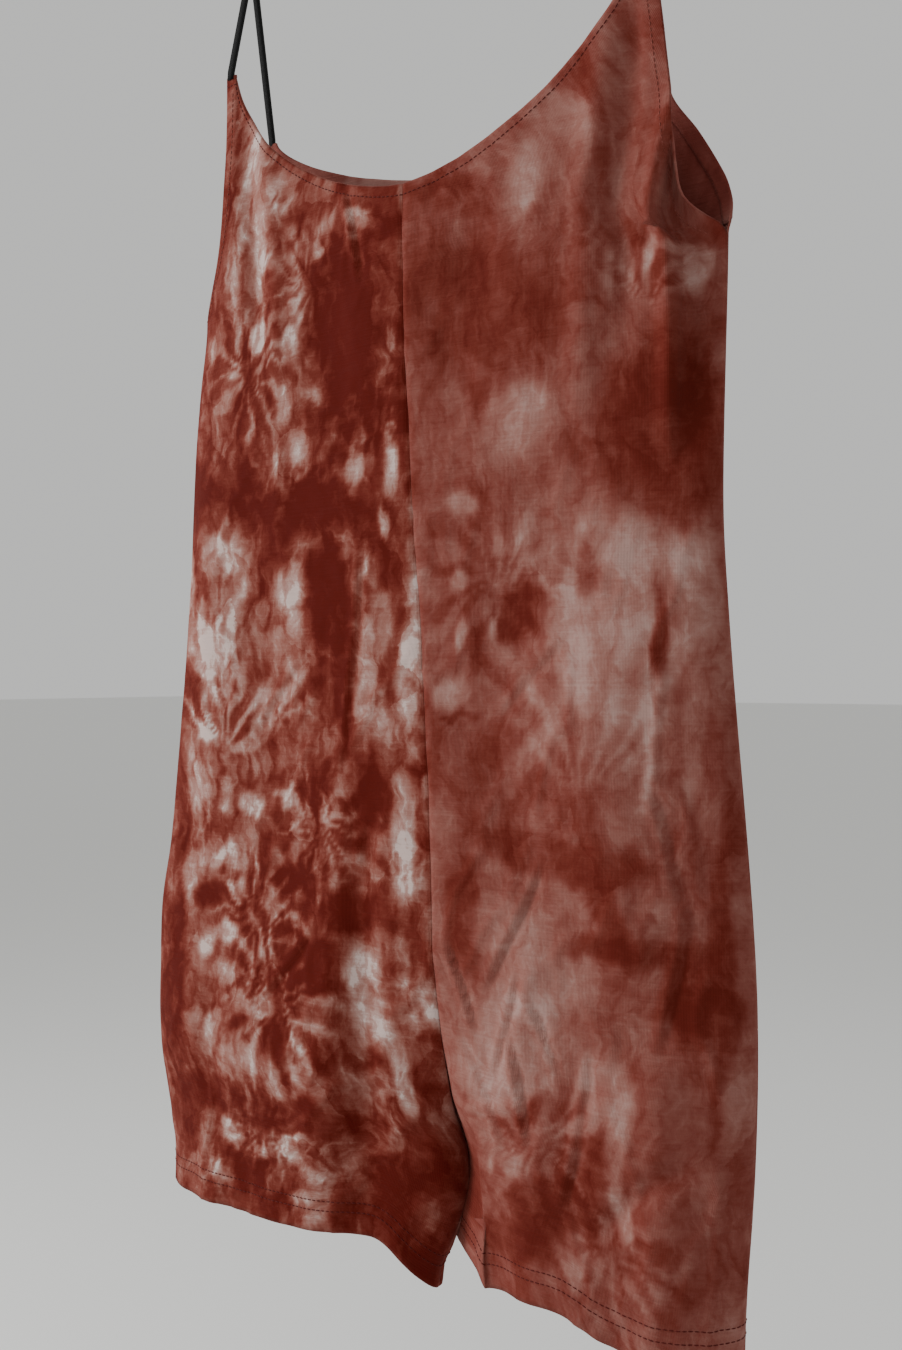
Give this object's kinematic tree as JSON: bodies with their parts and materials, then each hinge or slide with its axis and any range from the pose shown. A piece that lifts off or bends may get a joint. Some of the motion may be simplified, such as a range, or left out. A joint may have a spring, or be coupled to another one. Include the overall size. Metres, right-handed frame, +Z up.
{
  "type": "short unitard",
  "caption": "Sleeveless short-leg jersey unitard with centre, side and inside-leg seams, turned and twin-stitched leg hems and thin shoulder straps, hung as on a hanger.",
  "frame": {"origin": "on the hanger line, midway between the undersides of the two strap crowns where they hang over a hanger or rail, at the middle of the garment's depth", "axes": "+Z up, -Y out of the front of the garment, +X towards the wearer's left"},
  "size_m": [0.4208, 0.0604, 0.8022],
  "materials": {
    "jersey_rust": "scrunch-dyed rust cotton jersey, high contrast",
    "jersey_dusty": "scrunch-dyed brownish rust cotton jersey, low contrast",
    "jersey_inside": "back of the dyed jersey, turned edges and overlocked seams",
    "thread": "dark maroon sewing thread",
    "strap_webbing": "narrow matt black elastic strap"
  },
  "bodies": {
    "garment": {"front_panel_right": "jersey_rust", "front_panel_left": "jersey_dusty", "back_panel_right": "jersey_rust", "back_panel_left": "jersey_dusty", "front_neck_turn": "jersey_inside", "front_neck_topstitch": "thread", "back_neck_turn": "jersey_inside", "back_neck_topstitch": "thread", "armhole_turn_right": "jersey_inside", "armhole_topstitch_right": "thread", "armhole_turn_left": "jersey_inside", "armhole_topstitch_left": "thread", "leg_hem_right": "jersey_inside", "leg_topstitch_lower_right": "thread", "leg_topstitch_upper_right": "thread", "leg_hem_left": "jersey_inside", "leg_topstitch_lower_left": "thread", "leg_topstitch_upper_left": "thread", "centre_front_seam": "jersey_inside", "centre_back_seam": "jersey_inside", "inseam_right": "jersey_inside", "side_seam_right": "jersey_inside", "inseam_left": "jersey_inside", "side_seam_left": "jersey_inside"},
    "right_strap": {"strap_right": "strap_webbing"},
    "left_strap": {"strap_left": "strap_webbing"}
  },
  "joints": [
    {"name": "right_strap_swing", "type": "hinge", "parent": "garment", "child": "right_strap", "pos_m": [-0.142, -0.01682, -0.06697], "axis": [-0.0837, -0.718, 0.691], "range_deg": [-35, 80]},
    {"name": "left_strap_swing", "type": "hinge", "parent": "garment", "child": "left_strap", "pos_m": [0.142, -0.01682, -0.06697], "axis": [-0.0837, 0.718, -0.691], "range_deg": [-35, 80]}
  ]
}
